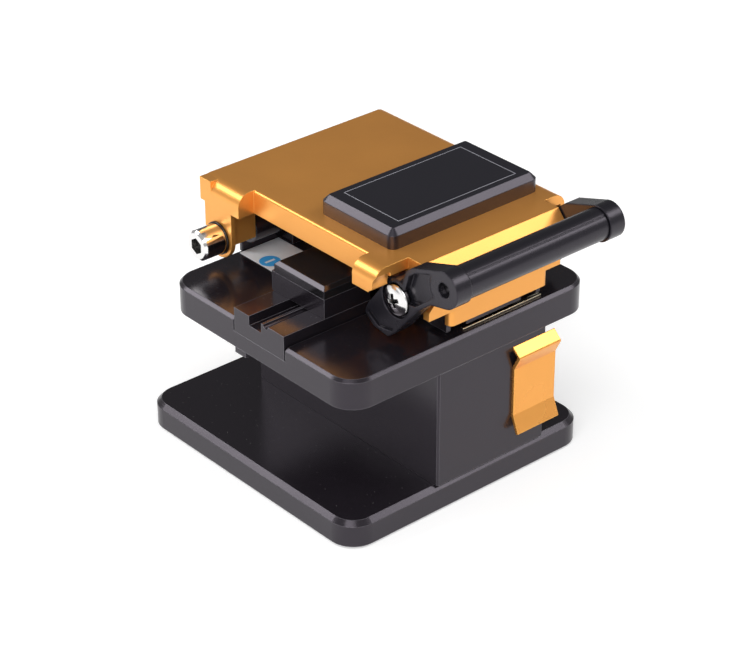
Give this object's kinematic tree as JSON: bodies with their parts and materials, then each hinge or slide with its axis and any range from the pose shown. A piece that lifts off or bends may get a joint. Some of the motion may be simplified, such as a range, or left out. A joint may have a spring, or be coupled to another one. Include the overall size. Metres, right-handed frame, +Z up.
{
  "type": "optical fibre cleaver",
  "caption": "Bench fibre cleaver: hinged gold lid with a press bar over a black deck, a sliding cutter wheel below the fibre line, a grooved fibre rail and a column on a base plate.",
  "frame": {"origin": "on the resting plane, under the middle of the deck's width and under the fibre line", "axes": "+X along the fibre from the guide rail towards the far clamp, +Y from the user towards the lid hinge, +Z up"},
  "size_m": [0.063, 0.077, 0.0595],
  "materials": {
    "black_anodised": "black anodised, fine satin",
    "gloss_black": "black anodised and polished",
    "gold_anodised": "warm gold anodised, satin",
    "gold_spring": "gold anodised bent sheet, satin",
    "bright_steel": "bright plated",
    "dark_steel": "black oxide",
    "blade_metal": "ground and polished hard metal",
    "badge_black": "smooth satin",
    "black_plastic": "moulded, soft gloss",
    "black_rubber": "matte",
    "label_film": "silver film"
  },
  "bodies": {
    "stand": {"base_plate": "black_anodised", "foot_pad": "black_rubber", "column": "black_anodised", "base_screws": "dark_steel", "deck_plate": "black_anodised", "deck_screws": "dark_steel", "fibre_rail": "black_anodised", "holder_block": "black_anodised", "holder_cap": "gloss_black", "rail_key": "black_anodised", "caution_label": "label_film", "lower_clamp_left": "black_anodised", "lower_clamp_right": "black_anodised", "lower_clamp_pads": "black_rubber", "slide_rails": "dark_steel", "stop_strip": "bright_steel", "hinge_bracket": "black_anodised", "scrap_clip": "gold_spring"},
    "lid": {"lid_cover": "gold_anodised", "badge_plate": "badge_black", "hinge_pin": "bright_steel", "pin_collar": "dark_steel", "upper_clamp_left": "gold_anodised", "upper_clamp_right": "gold_anodised", "upper_clamp_pads": "black_rubber", "lid_magnet": "bright_steel", "anvil_guide": "gold_anodised", "pivot_screws": "bright_steel"},
    "anvil": {"anvil": "blade_metal"},
    "handle": {"handle_arm_left": "black_plastic", "handle_arm_right": "black_plastic", "handle_rod": "bright_steel", "handle_grip": "black_plastic"},
    "slider": {"slider_plate": "gold_anodised", "slider_carriage": "black_anodised", "blade_axle": "bright_steel"},
    "blade": {"blade_wheel": "blade_metal", "blade_hub": "bright_steel"}
  },
  "joints": [
    {"name": "lid_hinge", "type": "hinge", "parent": "stand", "child": "lid", "pos_m": [0.0051, 0.0249, 0.0439], "axis": [-1, 0, 0], "range_deg": [0, 95]},
    {"name": "anvil_press", "type": "slide", "parent": "lid", "child": "anvil", "axis": [0, 0, -1], "range_m": [0, 0.001], "stiffness_N_per_m": 400, "springref_m": -0.001},
    {"name": "handle_swing", "type": "hinge", "parent": "lid", "child": "handle", "pos_m": [0.0051, -0.0229, 0.0483], "axis": [-1, 0, 0], "range_deg": [0, 24]},
    {"name": "blade_slide", "type": "slide", "parent": "stand", "child": "slider", "axis": [0, 1, 0], "range_m": [0, 0.015]},
    {"name": "blade_turn", "type": "hinge", "parent": "slider", "child": "blade", "pos_m": [0.0051, -0.009, 0.0323], "axis": [1, 0, 0], "continuous": true}
  ]
}
